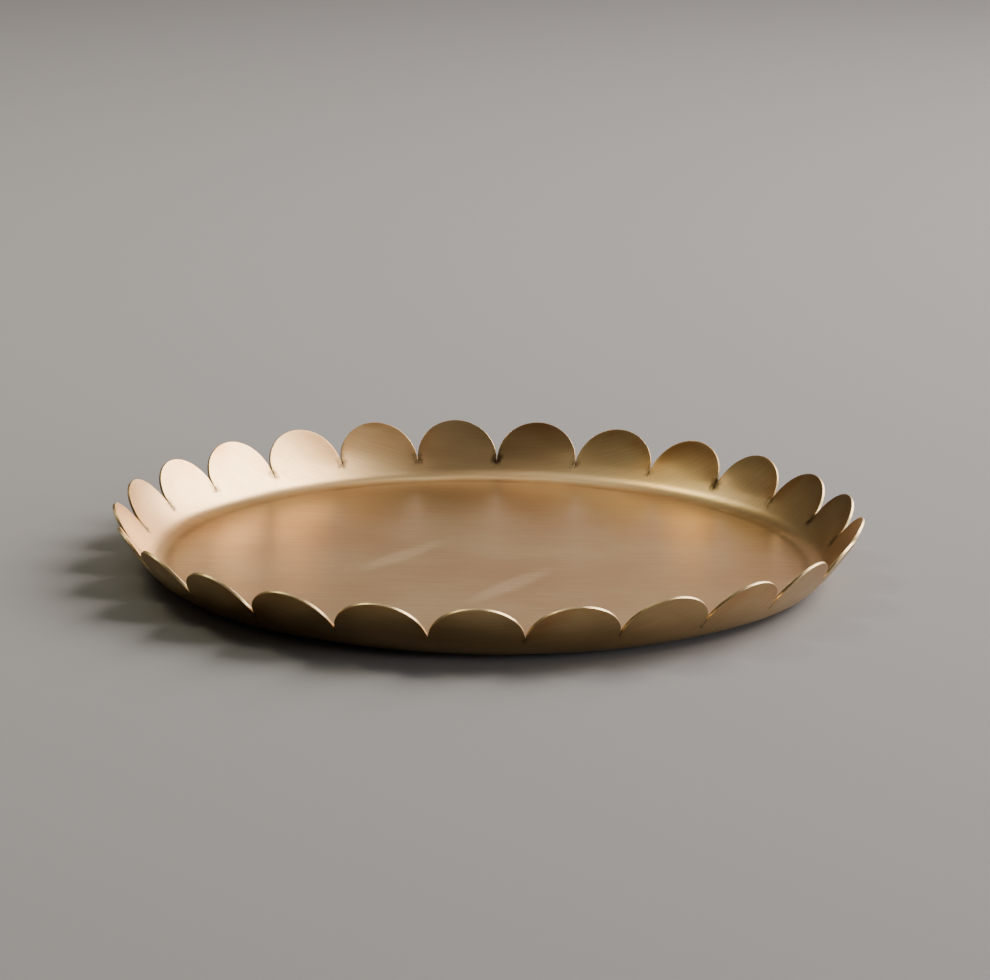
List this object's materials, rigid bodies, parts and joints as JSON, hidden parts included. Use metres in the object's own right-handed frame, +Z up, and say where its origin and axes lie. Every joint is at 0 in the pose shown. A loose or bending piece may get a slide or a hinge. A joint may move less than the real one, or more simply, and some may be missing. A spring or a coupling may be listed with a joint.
{
  "type": "decorative tray",
  "caption": "Shallow round brass tray with a flat floor and a flaring rim cut into rounded petals, standing on small felt pads.",
  "frame": {"origin": "in the plane the tray stands on (the underside of the felt pads), under the centre of the round floor", "axes": "+Z up, square to the flat floor; -Y runs from the centre through the middle of one petal, and +Y runs through the slit between two petals"},
  "size_m": [0.3008, 0.3003, 0.0264],
  "materials": {
    "brass_sheet": "brushed antique brass, darker at the slits, worn bright on the cut edges",
    "pad_felt": "dense pressed wool felt, matt"
  },
  "bodies": {
    "root": {"tray": "brass_sheet", "felt_pad_1": "pad_felt", "felt_pad_2": "pad_felt", "felt_pad_3": "pad_felt", "felt_pad_4": "pad_felt"}
  },
  "joints": []
}
